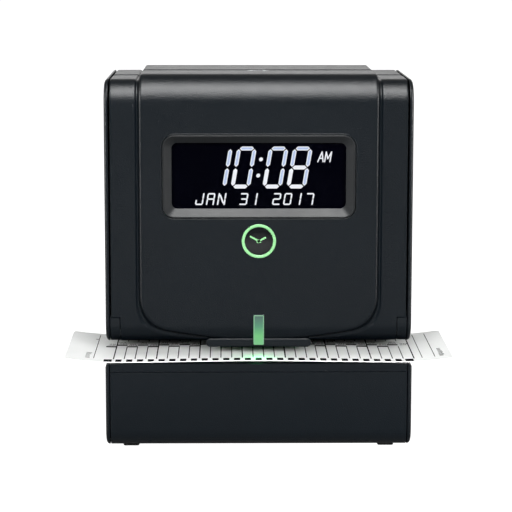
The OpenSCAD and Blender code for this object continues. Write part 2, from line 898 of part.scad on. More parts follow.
module time_card() {
    steps = 44;
    xs = [for (i = [0 : steps]) card_w * (i / steps - 0.5)];
    color("#eef0ee") frontal(card_rear - card_d, card_rear) polygon(concat(
        [for (x = xs) [x, card_z(x)]],
        [for (i = [steps : -1 : 0]) [xs[i], card_z(xs[i]) + card_t]]
    ));
}

base_plate();
base_cover();
card_table();
platen_strip();
left_side_panel();
right_side_panel();
left_frame();
right_frame();
rear_frame();
top_crossbar();
head_floor();
card_back_wall();
rear_cover();
cover_hinge_pins();
front_left_foot();
front_right_foot();
rear_left_foot();
rear_right_foot();
base_screws();
power_jack();
power_board();
power_transformer();
backup_battery();
main_board();
board_standoffs();
board_components();
sounder();
display_bracket();
display_board();
backlight();
lcd_glass();
display_ribbon();
guide_led();
card_sensor();
print_bridge();
guide_rods();
stepper_motor();
drive_belt();
front_cover();
display_bezel();
display_lens();
badge_ring();
badge_disc();
light_bar();
print_nose();
lock_housing();
lock_barrel();
lock_cam();
set_button_1();
set_button_2();
set_button_3();
motor_pulley();
idler_pulley();
print_carriage();
press_solenoid();
print_head_block();
thermal_head();
press_yoke();
head_springs();
time_card();
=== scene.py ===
"""Looks of the punch time clock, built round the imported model. Lengths are in metres."""
import json
import math
import random

import bmesh
import bpy
import numpy as np
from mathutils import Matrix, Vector


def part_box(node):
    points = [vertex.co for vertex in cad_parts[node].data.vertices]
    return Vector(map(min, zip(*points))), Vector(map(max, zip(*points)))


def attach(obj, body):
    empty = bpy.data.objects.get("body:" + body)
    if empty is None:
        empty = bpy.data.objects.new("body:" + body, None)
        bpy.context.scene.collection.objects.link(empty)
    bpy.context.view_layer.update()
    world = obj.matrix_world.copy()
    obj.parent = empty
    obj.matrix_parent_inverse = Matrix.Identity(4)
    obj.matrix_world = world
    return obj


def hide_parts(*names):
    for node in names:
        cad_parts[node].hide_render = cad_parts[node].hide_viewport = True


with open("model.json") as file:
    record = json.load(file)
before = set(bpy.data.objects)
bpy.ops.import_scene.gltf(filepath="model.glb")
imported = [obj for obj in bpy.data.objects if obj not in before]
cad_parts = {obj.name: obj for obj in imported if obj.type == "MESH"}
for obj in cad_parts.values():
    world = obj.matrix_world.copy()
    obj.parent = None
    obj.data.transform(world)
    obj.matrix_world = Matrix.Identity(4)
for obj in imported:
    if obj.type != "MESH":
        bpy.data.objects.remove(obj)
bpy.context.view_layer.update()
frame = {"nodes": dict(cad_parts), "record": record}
MM = 0.001


# ---- sizes, read from the frame ----

def span(node, axis):
    """Lowest and highest coordinate of a CAD node along an axis, 0 to 2."""
    lo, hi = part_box(node)
    return lo[axis], hi[axis]


# The covers and the side panels keep back a little from each other, so that their seams show
SEAM_SHADE = 0.4 * MM
SIDE_IN = 87.65 * MM
SIDE_OUT = span("right_side_panel", 0)[1]
PANEL_FRONT, PANEL_REAR = span("right_side_panel", 1)
SHOULDER_TOP = span("right_side_panel", 2)[1]
COVER_HALF = span("front_cover", 0)[1] - SEAM_SHADE
SPINE_FRONT = span("front_cover", 1)[0]
HEAD_LOW, SPINE_TOP = span("front_cover", 2)
HEAD_BASE = span("head_floor", 2)[0]
SEAM_FRONT = span("front_cover", 1)[1]
SEAM_REAR = span("rear_cover", 1)[0]
SPINE_REAR = span("rear_cover", 1)[1]
REAR_LOW = span("rear_cover", 2)[0]
TABLE_TOP = span("card_table", 2)[1]
RAISE = SPINE_TOP - SHOULDER_TOP
HEAD_FRONT = SPINE_FRONT + RAISE
BEZEL_LOW, BEZEL_HIGH = span("display_bezel", 2)
BEZEL_HALF = span("display_bezel", 0)[1]
LCD_FRONT = span("lcd_glass", 1)[0]
LENS_FRONT = span("display_lens", 1)[0]
BADGE_Z = sum(span("badge_ring", 2)) / 2
BADGE_R = span("badge_ring", 0)[1]
DISC_R = span("badge_disc", 0)[1]

# The same radii and places as the design's
WALL = 2.6 * MM
BROW_R = 14 * MM
CHIN_R = 12 * MM
CROWN_R = 20 * MM
SPINE_HALF = 69 * MM
SPINE_CORNER_Z = 90 * MM
SPINE_CORNER_R = 20 * MM
SPINE_SLOPE = math.radians(13.3)
BASE_ROUND = 10 * MM
COLUMN_Y = 25 * MM
WINDOW_HALF = 50.8 * MM
WINDOW_Z = (142.3 * MM, 180.7 * MM)
BEZEL_R = 7 * MM
LOCK_Y = -12.5 * MM
LOCK_R = 7.05 * MM
HINGE = (-50 * MM, 68 * MM)
LIGHT_HALF = 3 * MM
LIGHT_Z = span("light_bar", 2)
LUG_CLEAR = 12.37 * MM
FIT = 0.2 * MM
LIP = 0.9 * MM
END_X = COVER_HALF - 0.15 * MM
# Depths that the openings are cut between, ahead of the head's face and behind it
AHEAD = -70 * MM
BEHIND_FACE = -45 * MM


# ---- materials ----

def new_material(name):
    mat = bpy.data.materials.new(name)
    mat.use_nodes = True
    tree = mat.node_tree
    tree.nodes.clear()
    out = tree.nodes.new("ShaderNodeOutputMaterial")
    shader = tree.nodes.new("ShaderNodeBsdfPrincipled")
    tree.links.new(shader.outputs[0], out.inputs[0])
    return mat, tree, shader, out


def object_point(tree):
    return tree.nodes.new("ShaderNodeTexCoord").outputs["Object"]


def stretched(tree, point, scale):
    """The point scaled differently along X, Y and Z, for brushed and grained surfaces."""
    node = tree.nodes.new("ShaderNodeMapping")
    node.inputs["Scale"].default_value = scale
    tree.links.new(point, node.inputs["Vector"])
    return node.outputs[0]


def noise(tree, point, scale, detail=2.0, roughness=0.5):
    node = tree.nodes.new("ShaderNodeTexNoise")
    node.inputs["Scale"].default_value = scale
    node.inputs["Detail"].default_value = detail
    node.inputs["Roughness"].default_value = roughness
    tree.links.new(point, node.inputs["Vector"])
    return node.outputs["Fac"]


def ramp(tree, fac, stops):
    """Colour ramp; stops are (position, colour)."""
    node = tree.nodes.new("ShaderNodeValToRGB")
    elements = node.color_ramp.elements
    while len(elements) < len(stops):
        elements.new(0.5)
    for element, (position, colour) in zip(elements, stops):
        element.position = position
        element.color = (*colour, 1.0)
    tree.links.new(fac, node.inputs[0])
    return node.outputs[0]


def grey(value):
    return (value, value, value)


def spread(tree, fac, low, high):
    """Maps 0..1 noise onto low..high."""
    node = tree.nodes.new("ShaderNodeMapRange")
    node.inputs["From Min"].default_value = 0.25
    node.inputs["From Max"].default_value = 0.75
    node.inputs["To Min"].default_value = low
    node.inputs["To Max"].default_value = high
    tree.links.new(fac, node.inputs["Value"])
    return node.outputs[0]


def bump(tree, shader, height, strength, distance):
    node = tree.nodes.new("ShaderNodeBump")
    node.inputs["Strength"].default_value = strength
    node.inputs["Distance"].default_value = distance
    tree.links.new(height, node.inputs["Height"])
    tree.links.new(node.outputs[0], shader.inputs["Normal"])


def moulded_plastic(name, colour, rough=(0.36, 0.46), grain=1500.0, depth=0.03 * MM, strength=0.35,
                    shade=0.25, specular=0.5):
    """Moulded or painted surface with a fine grain, patchy gloss and a slight change of shade."""
    mat, tree, shader, _ = new_material(name)
    point = object_point(tree)
    patches = noise(tree, point, 18.0, 3.0)
    dark = tuple(c * (1 - shade) for c in colour)
    light = tuple(c * (1 + shade) for c in colour)
    tree.links.new(ramp(tree, patches, [(0.3, dark), (0.7, light)]), shader.inputs["Base Color"])
    tree.links.new(spread(tree, noise(tree, point, 140.0, 4.0), *rough), shader.inputs["Roughness"])
    shader.inputs["Specular IOR Level"].default_value = specular
    bump(tree, shader, noise(tree, point, grain, 2.0, 0.6), strength, depth)
    return mat


def brushed_metal(name, colour, rough=(0.28, 0.45), along=0):
    """Metal with fine scratches along one axis."""
    mat, tree, shader, _ = new_material(name)
    scale = [1.0, 1.0, 1.0]
    scale[along] = 0.03
    grain_point = stretched(tree, object_point(tree), scale)
    scratches = noise(tree, grain_point, 2500.0, 3.0, 0.7)
    stains = noise(tree, object_point(tree), 45.0, 4.0)
    dark = tuple(c * 0.8 for c in colour)
    tree.links.new(ramp(tree, stains, [(0.35, dark), (0.65, colour)]), shader.inputs["Base Color"])
    tree.links.new(spread(tree, scratches, *rough), shader.inputs["Roughness"])
    shader.inputs["Metallic"].default_value = 1.0
    bump(tree, shader, scratches, 0.12, 0.01 * MM)
    return mat


def circuit_board(name):
    """Green solder mask with copper tracks showing faintly through it."""
    mat, tree, shader, _ = new_material(name)
    point = object_point(tree)
    tracks = tree.nodes.new("ShaderNodeTexBrick")
    tracks.inputs["Scale"].default_value = 160.0
    tracks.inputs["Mortar Size"].default_value = 0.035
    tracks.inputs["Color1"].default_value = (0.006, 0.052, 0.022, 1)
    tracks.inputs["Color2"].default_value = (0.008, 0.06, 0.026, 1)
    tracks.inputs["Mortar"].default_value = (0.016, 0.105, 0.042, 1)
    turn = tree.nodes.new("ShaderNodeMapping")
    turn.inputs["Rotation"].default_value = (math.radians(90), 0, 0)
    tree.links.new(point, turn.inputs["Vector"])
    tree.links.new(turn.outputs[0], tracks.inputs["Vector"])
    tree.links.new(tracks.outputs["Color"], shader.inputs["Base Color"])
    tree.links.new(spread(tree, noise(tree, point, 300.0), 0.22, 0.38), shader.inputs["Roughness"])
    bump(tree, shader, tracks.outputs["Fac"], 0.3, 0.03 * MM)
    return mat


def glowing(name, colour, power, blotch=0.12):
    """A lit surface whose brightness varies slightly, like a display segment or a lamp."""
    mat, tree, shader, _ = new_material(name)
    point = object_point(tree)
    shader.inputs["Base Color"].default_value = (0.02, 0.02, 0.02, 1)
    shader.inputs["Roughness"].default_value = 0.4
    low = tuple(c * (1 - blotch) for c in colour)
    tree.links.new(ramp(tree, noise(tree, point, 700.0), [(0.3, low), (0.7, colour)]),
                   shader.inputs["Emission Color"])
    shader.inputs["Emission Strength"].default_value = power
    return mat


def window_material(name):
    """Clear tinted window: see-through, with a gloss that grows towards grazing angles."""
    mat, tree, shader, out = new_material(name)
    clear = tree.nodes.new("ShaderNodeBsdfTransparent")
    clear.inputs[0].default_value = (0.93, 0.94, 0.96, 1)
    gloss = tree.nodes.new("ShaderNodeBsdfGlossy")
    gloss.inputs["Color"].default_value = (0.008, 0.008, 0.01, 1)
    gloss.inputs["Roughness"].default_value = 0.12
    facing = tree.nodes.new("ShaderNodeFresnel")
    facing.inputs["IOR"].default_value = 1.33
    mix = tree.nodes.new("ShaderNodeMixShader")
    tree.links.new(facing.outputs[0], mix.inputs[0])
    tree.links.new(clear.outputs[0], mix.inputs[1])
    tree.links.new(gloss.outputs[0], mix.inputs[2])
    tree.nodes.remove(shader)
    tree.links.new(mix.outputs[0], out.inputs[0])
    return mat


def height_fac(tree, low, high):
    """0 at z = low, 1 at z = high."""
    parts = tree.nodes.new("ShaderNodeSeparateXYZ")
    tree.links.new(object_point(tree), parts.inputs[0])
    node = tree.nodes.new("ShaderNodeMapRange")
    node.inputs["From Min"].default_value = low
    node.inputs["From Max"].default_value = high
    tree.links.new(parts.outputs["Z"], node.inputs["Value"])
    return node.outputs[0]


def map_range(tree, value, low, high):
    node = tree.nodes.new("ShaderNodeMapRange")
    node.inputs["From Min"].default_value = low
    node.inputs["From Max"].default_value = high
    tree.links.new(value, node.inputs["Value"])
    return node.outputs[0]


def light_bar_material(name):
    """Frosted light guide: brightest green at its lower end, fading to a dull teal above."""
    mat, tree, shader, _ = new_material(name)
    fac = height_fac(tree, *LIGHT_Z)
    shader.inputs["Base Color"].default_value = (0.012, 0.025, 0.018, 1)
    shader.inputs["Roughness"].default_value = 0.35
    colour = ramp(tree, fac, [(0.0, (0.17, 0.48, 0.21)), (0.30, (0.15, 0.50, 0.17)),
                              (0.62, (0.075, 0.25, 0.14)), (1.0, (0.06, 0.08, 0.09))])
    tree.links.new(colour, shader.inputs["Emission Color"])
    shader.inputs["Emission Strength"].default_value = 1.0
    bump(tree, shader, noise(tree, object_point(tree), 900.0), 0.2, 0.02 * MM)
    return mat


def paper_material(name):
    mat, tree, shader, _ = new_material(name)
    point = object_point(tree)
    fibres = noise(tree, point, 1800.0, 5.0, 0.65)
    tone = noise(tree, point, 30.0, 3.0)
    tree.links.new(ramp(tree, tone, [(0.3, (0.83, 0.84, 0.83)), (0.7, (0.88, 0.89, 0.88))]),
                   shader.inputs["Base Color"])
    tree.links.new(spread(tree, fibres, 0.7, 0.9), shader.inputs["Roughness"])
    bump(tree, shader, fibres, 0.25, 0.02 * MM)
    return mat


SHELL_COLOUR = (0.0017, 0.0030, 0.0044)
MATS = {
    "shell": moulded_plastic("moulded_charcoal", SHELL_COLOUR, rough=(0.28, 0.34), grain=1500.0,
                             depth=0.17 * MM, strength=1.0, shade=0.08),
    "shell_dark": moulded_plastic("moulded_black", (0.0020, 0.0033, 0.0046), rough=(0.34, 0.42),
                                  grain=1000.0, depth=0.1 * MM, strength=0.8, shade=0.08),
    "bezel": moulded_plastic("bezel_grey", (0.0085, 0.0093, 0.0100), rough=(0.36, 0.44), grain=1400.0,
                             depth=0.06 * MM, strength=0.6, specular=0.42),
    "window": window_material("tinted_window"),
    "lcd": moulded_plastic("lcd_black", (0.0003, 0.0003, 0.0012), rough=(0.16, 0.2), strength=0.02,
                           specular=0.05),
    "backlight": moulded_plastic("diffuser_white", (0.6, 0.62, 0.64), rough=(0.5, 0.6), shade=0.04),
    "ring": moulded_plastic("ring_green", (0.155, 0.36, 0.16), rough=(0.25, 0.35), strength=0.08,
                            shade=0.08),
    "badge": moulded_plastic("badge_black", (0.004, 0.0045, 0.005), rough=(0.08, 0.14), strength=0.03),
    "light_guide": light_bar_material("light_guide_green"),
    "rubber": moulded_plastic("foot_rubber", (0.008, 0.008, 0.008), rough=(0.7, 0.85), grain=900.0,
                              depth=0.06 * MM, specular=0.3),
    "steel": brushed_metal("zinc_steel", (0.46, 0.47, 0.48)),
    "bright_steel": brushed_metal("ground_steel", (0.62, 0.63, 0.64), rough=(0.24, 0.38), along=1),
    "casting": brushed_metal("machined_aluminium", (0.5, 0.51, 0.52), rough=(0.25, 0.4), along=2),
    "board": circuit_board("solder_mask"),
    "component": moulded_plastic("component_black", (0.012, 0.012, 0.013), rough=(0.5, 0.62)),
    "brass": brushed_metal("turned_brass", (0.62, 0.44, 0.16), along=1),
    "copper": moulded_plastic("winding_tape", (0.42, 0.17, 0.035), rough=(0.35, 0.5), grain=700.0),
    "battery": moulded_plastic("shrink_wrap", (0.02, 0.11, 0.36), rough=(0.2, 0.32), strength=0.1),
    "cable": moulded_plastic("ribbon_grey", (0.32, 0.33, 0.34), rough=(0.45, 0.6)),
    "motor": moulded_plastic("motor_enamel", (0.012, 0.013, 0.015), rough=(0.3, 0.42)),
    "button": moulded_plastic("button_ivory", (0.40, 0.39, 0.36), rough=(0.35, 0.45), shade=0.05),
    "carriage": moulded_plastic("glass_filled_black", (0.014, 0.015, 0.016), rough=(0.45, 0.6)),
    "ceramic": moulded_plastic("head_ceramic", (0.62, 0.58, 0.5), rough=(0.12, 0.2), shade=0.06),
    "card": paper_material("card_stock"),
}
INK = moulded_plastic("card_ink", (0.005, 0.005, 0.006), rough=(0.85, 0.95), strength=0.1, specular=0.02)
FAINT_INK = moulded_plastic("card_ink_grey", (0.03, 0.033, 0.033), rough=(0.85, 0.95), strength=0.1,
                            specular=0.02)
SEGMENT_WHITE = glowing("segment_white", (1.0, 1.0, 1.0), 1.0, blotch=0.04)
SEGMENT_BLUE = glowing("segment_blue", (0.56, 0.68, 0.93), 1.0)
BAR_RIM = glowing("light_bar_rim", (0.28, 0.66, 0.36), 0.75)
BAR_FOOT = glowing("light_bar_foot", (0.07, 0.9, 0.24), 40.0)


# ---- mesh helpers ----

def add_object(name, verts, faces, mat, smooth=True):
    """A new mesh object with one material."""
    mesh = bpy.data.meshes.new(name)
    mesh.from_pydata([tuple(v) for v in verts], [], faces)
    mesh.validate()
    obj = bpy.data.objects.new(name, mesh)
    bpy.context.scene.collection.objects.link(obj)
    mesh.materials.append(mat)
    for polygon in mesh.polygons:
        polygon.use_smooth = smooth
    return obj


def outwards(obj):
    """Turns the faces of a closed mesh outwards."""
    bm = bmesh.new()
    bm.from_mesh(obj.data)
    bmesh.ops.recalc_face_normals(bm, faces=bm.faces)
    bm.to_mesh(obj.data)
    bm.free()
    return obj


def select_only(obj):
    bpy.ops.object.select_all(action="DESELECT")
    obj.select_set(True)
    bpy.context.view_layer.objects.active = obj


def apply_all(obj):
    select_only(obj)
    for modifier in list(obj.modifiers):
        bpy.ops.object.modifier_apply(modifier=modifier.name)


def sharp_by_angle(obj, degrees=30.0):
    """Smooth shading with creases where faces meet at more than the angle."""
    select_only(obj)
    bpy.ops.object.shade_smooth_by_angle(angle=math.radians(degrees))
    return obj


def join(name, parts):
    """Joins pieces that belong to one sub-part into one object."""
    bpy.ops.object.select_all(action="DESELECT")
    for part in parts:
        part.select_set(True)
    bpy.context.view_layer.objects.active = parts[0]
    bpy.ops.object.join()
    parts[0].name = name
    parts[0].data.name = name
    return parts[0]


def cut(obj, cutter):
    """Takes the cutter out of the object and removes it."""
    modifier = obj.modifiers.new("cut", "BOOLEAN")
    modifier.operation = "DIFFERENCE"
    modifier.solver = "EXACT"
    modifier.object = cutter
    apply_all(obj)
    mesh = cutter.data
    bpy.data.objects.remove(cutter)
    bpy.data.meshes.remove(mesh)
    return obj


def arc(centre, r, start, end, steps):
    """Points of an arc in a plane, angles in degrees."""
    angles = np.radians(np.linspace(start, end, steps + 1))
    return [(centre[0] + r * math.cos(a), centre[1] + r * math.sin(a)) for a in angles]


def round_rect(x0, x1, z0, z1, r, steps=8):
    return (arc((x0 + r, z0 + r), r, 180, 270, steps) + arc((x1 - r, z0 + r), r, 270, 360, steps)
            + arc((x1 - r, z1 - r), r, 0, 90, steps) + arc((x0 + r, z1 - r), r, 90, 180, steps))


def outline_normals(points):
    """Outward mitre vectors of a closed anticlockwise outline."""
    p = np.array(points, float)
    before = p - np.roll(p, 1, axis=0)
    after = np.roll(p, -1, axis=0) - p
    before /= np.linalg.norm(before, axis=1)[:, None]
    after /= np.linalg.norm(after, axis=1)[:, None]
    n0 = np.stack([before[:, 1], -before[:, 0]], 1)
    n1 = np.stack([after[:, 1], -after[:, 0]], 1)
    mitre = n0 + n1
    mitre /= np.linalg.norm(mitre, axis=1)[:, None]
    return mitre / np.maximum((mitre * n0).sum(1), 0.5)[:, None]


def place(point, depth, axis):
    """A 2D outline point at a depth along an axis: axis 0 takes (y, z), 1 takes (x, z), 2 takes (x, y)."""
    u, v = point
    return ((depth, u, v), (u, depth, v), (u, v, depth))[axis]


def loft(name, rings, mat, capped=True, closed_loop=False):
    """Closed skin through rings with equal numbers of points."""
    count = len(rings[0])
    verts = [v for ring in rings for v in ring]
    faces = []
    pairs = list(zip(range(len(rings) - 1), range(1, len(rings))))
    if closed_loop:
        pairs.append((len(rings) - 1, 0))
    for i, j in pairs:
        for k in range(count):
            n = (k + 1) % count
            faces.append((i * count + k, i * count + n, j * count + n, j * count + k))
    if capped and not closed_loop:
        faces.append(tuple(range(count))[::-1])
        faces.append(tuple(range((len(rings) - 1) * count, len(rings) * count)))
    return outwards(add_object(name, verts, faces, mat))


def skin_faces(n, m):
    """Faces of the solid between two grids of n by m points, the second grid's points after the first's."""
    faces = []
    for i in range(n - 1):
        for j in range(m - 1):
            a, b, c, d = i * m + j, i * m + j + 1, (i + 1) * m + j + 1, (i + 1) * m + j
            faces += [(a, b, c, d), (a + n * m, d + n * m, c + n * m, b + n * m)]
    rim = ([(0, j) for j in range(m)] + [(i, m - 1) for i in range(1, n)]
           + [(n - 1, j) for j in range(m - 2, -1, -1)] + [(i, 0) for i in range(n - 2, 0, -1)])
    for (i0, j0), (i1, j1) in zip(rim, rim[1:] + rim[:1]):
        a, b = i0 * m + j0, i1 * m + j1
        faces.append((b, a, a + n * m, b + n * m))
    return faces


def rounded_plate(name, outline, axis, lo, hi, mat, low_edge, high_edge, steps=4):
    """An outline extruded along an axis, its two rims rounded by different radii."""
    points = np.array(outline, float)
    normals = outline_normals(outline)
    small = min(low_edge, high_edge)
    low_reach, high_reach = [edge if edge == small else min(edge, hi - lo - small - 0.05 * MM)
                             for edge in (low_edge, high_edge)]
    rings = []
    for i in range(steps + 1):
        a = math.pi / 2 * i / steps
        inset, depth = low_edge * (1 - math.sin(a)), lo + low_reach * (1 - math.cos(a))
        rings.append([place(p, depth, axis) for p in points - normals * inset])
    for i in range(steps + 1):
        a = math.pi / 2 * i / steps
        inset, depth = high_edge * (1 - math.cos(a)), hi - high_reach * (1 - math.sin(a))
        rings.append([place(p, depth, axis) for p in points - normals * inset])
    obj = loft(name, rings, mat)
    return sharp_by_angle(obj, 40)


def box_piece(name, lo, hi, mat, edge=0.3 * MM, axis=2):
    """A box with rounded edges."""
    u, v = [k for k in range(3) if k != axis]
    outline = round_rect(lo[u], hi[u], lo[v], hi[v], max(edge, 0.05 * MM), 3)
    return rounded_plate(name, outline, axis, lo[axis], hi[axis], mat, edge, edge, 3)


def turned(name, profile, centre, axis, mat, sides=64):
    """A solid of revolution: profile is (radius, depth) pairs along the axis, ends closed."""
    rings = []
    for r, depth in profile:
        ring = arc(centre, max(r, 0.01 * MM), 0, 360 - 360 / sides, sides - 1)
        rings.append([place(p, depth, axis) for p in ring])
    return sharp_by_angle(loft(name, rings, mat), 35)


# ---- the head's shells ----

def side_rows():
    """The head's side outline from the chin, up the front and over the top to the rear:
    (y, z, outward y, outward z)."""
    rows = []

    def sweep(cy, cz, r, start, end, steps):
        for a in np.radians(np.linspace(start, end, steps + 1)):
            ny, nz = math.cos(a), math.sin(a)
            rows.append((cy + r * ny, cz + r * nz, ny, nz))

    chin_z = HEAD_BASE + CHIN_R
    sweep(HEAD_FRONT + CHIN_R, chin_z, CHIN_R, 270, 180, 38)
    for z in np.arange(chin_z + 0.4 * MM, SPINE_CORNER_Z + 2 * MM, 0.4 * MM):
        rows.append((HEAD_FRONT, z, -1.0, 0.0))
    for z in np.linspace(rows[-1][1] + 2 * MM, SHOULDER_TOP - BROW_R - 1 * MM, 40):
        rows.append((HEAD_FRONT, z, -1.0, 0.0))
    sweep(HEAD_FRONT + BROW_R, SHOULDER_TOP - BROW_R, BROW_R, 180, 90, 24)
    shoulder_rear = SPINE_REAR - RAISE
    top_from = HEAD_FRONT + BROW_R
    top_to = shoulder_rear - CROWN_R
    top = list(np.linspace(top_from + 2 * MM, top_to - 2 * MM, 44))
    for step in (0.03, 0.12, 0.3, 0.55, 0.85, 1.3):
        top += [SEAM_FRONT - step * MM, SEAM_REAR + step * MM]
    for y in sorted(top):
        rows.append((y, SHOULDER_TOP, 0.0, 1.0))
    sweep(top_to, SHOULDER_TOP - CROWN_R, CROWN_R, 90, 0, 24)
    for z in np.linspace(SHOULDER_TOP - CROWN_R - 3 * MM, REAR_LOW, 48):
        rows.append((shoulder_rear, z, 1.0, 0.0))
    return np.array(rows)


def across_columns():
    """X positions: close together where the spine's edge runs, wider apart elsewhere."""
    half = list(np.arange(0, 50, 1.0)) + list(np.arange(50, 66, 0.6)) + list(np.arange(66, 73.2, 0.3))
    half += [74.5, 77, 80, 83, 85]
    half = [h * MM for h in half] + [COVER_HALF - rim * MM for rim in (0.8, 0.5, 0.25, 0.08, 0.0)]
    return np.array([-h for h in reversed(half[1:])] + half)


def spine_distance(x, z):
    """How far inside the spine's outline a point is, seen from the front; negative outside."""
    x = abs(x)
    end_x = SPINE_HALF - SPINE_CORNER_R + SPINE_CORNER_R * math.sin(SPINE_SLOPE)
    end_z = SPINE_CORNER_Z - SPINE_CORNER_R * math.cos(SPINE_SLOPE)
    low_r = end_x / math.sin(SPINE_SLOPE)
    low_cz = end_z + low_r * math.cos(SPINE_SLOPE)
    corner_x = SPINE_HALF - SPINE_CORNER_R
    if z >= SPINE_CORNER_Z:
        return SPINE_HALF - x
    dx, dz = x - corner_x, z - SPINE_CORNER_Z
    towards = math.atan2(dx, -dz)
    if dx > 0 and towards > SPINE_SLOPE:
        return SPINE_CORNER_R - math.hypot(dx, dz)
    return low_r - math.hypot(x, z - low_cz)


# The spine's edge: its rounding, how far outside the outline it starts, how much wider it is low down,
# and the groove that runs outside it
EDGE_ROUND = 1.7 * MM
EDGE_SHIFT = 0.5 * MM
LOW_SPREAD = 0.6
GROOVE = 0.9 * MM
GROOVE_W = 2.6 * MM
RIM_ROUND = 0.8 * MM
# The front cover dips a little towards the seam across the top
SEAM_DIP = 0.6 * MM
SEAM_DIP_LENGTH = 14 * MM


def edge_drop(distance, r):
    """How far a rounded edge falls away at a distance from the edge."""
    return r - math.sqrt(r * r - (r - distance) ** 2) if distance < r else 0.0


def spine_height(distance):
    """Height of the surface over the shoulder: a rounded edge with a shallow groove outside it."""
    if distance >= EDGE_ROUND:
        return RAISE
    if distance >= 0:
        t = 1 - distance / EDGE_ROUND
        return RAISE * (0.34 + 0.66 * math.sqrt(max(0.0, 1 - t * t)))
    if distance > -GROOVE_W:
        t = -distance / GROOVE_W
        fall = (1 - min(1.0, t / 0.35)) ** 2
        dip = math.sin(math.pi * min(1.0, t)) ** 1.5
        return RAISE * 0.34 * fall - GROOVE * dip
    return 0.0


def head_shell(name, keep, mat):
    """A shell over part of the head: keep(y, z) chooses its rows."""
    rows = [r for r in side_rows() if keep(r[0], r[1])]
    columns = across_columns()
    outer, inner = [], []
    for y, z, ny, nz in rows:
        on_front = ny < 0
        for x in columns:
            distance = spine_distance(x, z + RAISE * nz if on_front else 1.0)
            low = on_front and z < SPINE_CORNER_Z
            stretch = 1.0 + (LOW_SPREAD - 1.0) * min(1.0, (SPINE_CORNER_Z - z) / (15 * MM)) if low else 1.0
            d = spine_height(distance * stretch + EDGE_SHIFT)
            if on_front and distance < 0 and z < HEAD_LOW + 2.5 * MM:
                d = 0.0
            d -= edge_drop(COVER_HALF - abs(x), RIM_ROUND)
            if nz > 0.999:
                if y < SEAM_FRONT:
                    d -= SEAM_DIP * max(0.0, 1 - (SEAM_FRONT - y) / SEAM_DIP_LENGTH) ** 1.3
                d -= edge_drop(min(abs(y - SEAM_FRONT), abs(y - SEAM_REAR)), RIM_ROUND)
            outer.append((x, y + d * ny, z + d * nz))
            w = (RAISE if distance > EDGE_ROUND + WALL else 0.0) - WALL
            x_in = max(-COVER_HALF + 0.02 * MM, min(COVER_HALF - 0.02 * MM, x))
            inner.append((x_in, y + w * ny, z + w * nz))
    faces = skin_faces(len(rows), len(columns))
    return outwards(add_object(name, outer + inner, faces, mat))


def plain_cylinder(name, centre, r, axis, lo, hi, sides=64):
    ring = arc(centre, r, 0, 360 - 360 / sides, sides - 1)
    return loft(name, [[place(p, d, axis) for p in ring] for d in (lo, hi)], MATS["shell"])


def plain_prism(name, outline, axis, lo, hi):
    return loft(name, [[place(p, d, axis) for p in outline] for d in (lo, hi)], MATS["shell"])


def plain_box(name, lo, hi):
    return plain_prism(name, [(lo[0], lo[2]), (hi[0], lo[2]), (hi[0], hi[2]), (lo[0], hi[2])], 1,
                       lo[1], hi[1])


def head_end(name, rows, closing, x_out):
    """Flat end of a head shell, just inside the side panel."""
    inset = 1.1 * MM
    outline = [(y - ny * inset, z - nz * inset) for y, z, ny, nz in rows] + closing
    x_in = x_out - math.copysign(1.8 * MM, x_out)
    return plain_prism(name, outline[::-1], 0, min(x_in, x_out), max(x_in, x_out))


def front_cover():
    """Front cover with its openings; the shell and its ends are cut before they are joined."""
    def keep(y, z):
        chin = z > HEAD_LOW + 0.2 * MM or y < HEAD_FRONT + CHIN_R + 0.1 * MM
        return y < SEAM_FRONT - 0.01 * MM and chin

    shell = head_shell("piece_front_cover", keep, MATS["shell"])
    rows = [r for r in side_rows() if keep(r[0], r[1])]
    cuts = [
        plain_prism("cut_bezel", round_rect(-BEZEL_HALF - FIT, BEZEL_HALF + FIT, BEZEL_LOW - FIT,
                                            BEZEL_HIGH + FIT, BEZEL_R), 1, AHEAD, BEHIND_FACE),
        plain_cylinder("cut_badge", (0, BADGE_Z), BADGE_R, 1, AHEAD, SPINE_FRONT + 1.0 * MM),
        plain_box("cut_light", (-LIGHT_HALF - FIT, AHEAD, 50 * MM),
                  (LIGHT_HALF + FIT, BEHIND_FACE, LIGHT_Z[1] + FIT)),
        plain_cylinder("cut_lock", (0, LOCK_Y), LOCK_R, 2, 205 * MM, 230 * MM),
    ]
    for cutter in cuts:
        cut(shell, cutter)
    parts = [shell]
    for side in (-1, 1):
        closing = [(SEAM_FRONT, SHOULDER_TOP - 1.5 * MM), (SEAM_FRONT, HINGE[1] + LUG_CLEAR),
                   (HINGE[0], HINGE[1] + LUG_CLEAR), (HINGE[0] + 4 * MM, HEAD_LOW + 1 * MM)]
        end = head_end("end", rows, closing, side * END_X)
        cut(shell, lug_notch(side))
        cut(end, lug_notch(side))
        boss = sorted((side * 77.2 * MM, side * 81.1 * MM))
        parts += [end, plain_cylinder("boss", HINGE, 3.9 * MM, 0, *boss)]
    parts.append(rolled_edge())
    return sharp_by_angle(join("piece_front_cover", parts), 35)


def lug_notch(side):
    """The corner cut out of the front cover for a hinge lug."""
    x0, x1 = sorted((side * 81.2 * MM, side * 99.3 * MM))
    front, below = -71.3 * MM, 40.7 * MM
    notch = [(front, below), (HINGE[0], below)] + arc(HINGE, LUG_CLEAR, -90, 180, 36) + [(front, HINGE[1])]
    return plain_prism("cut_lug", notch, 0, x0, x1)


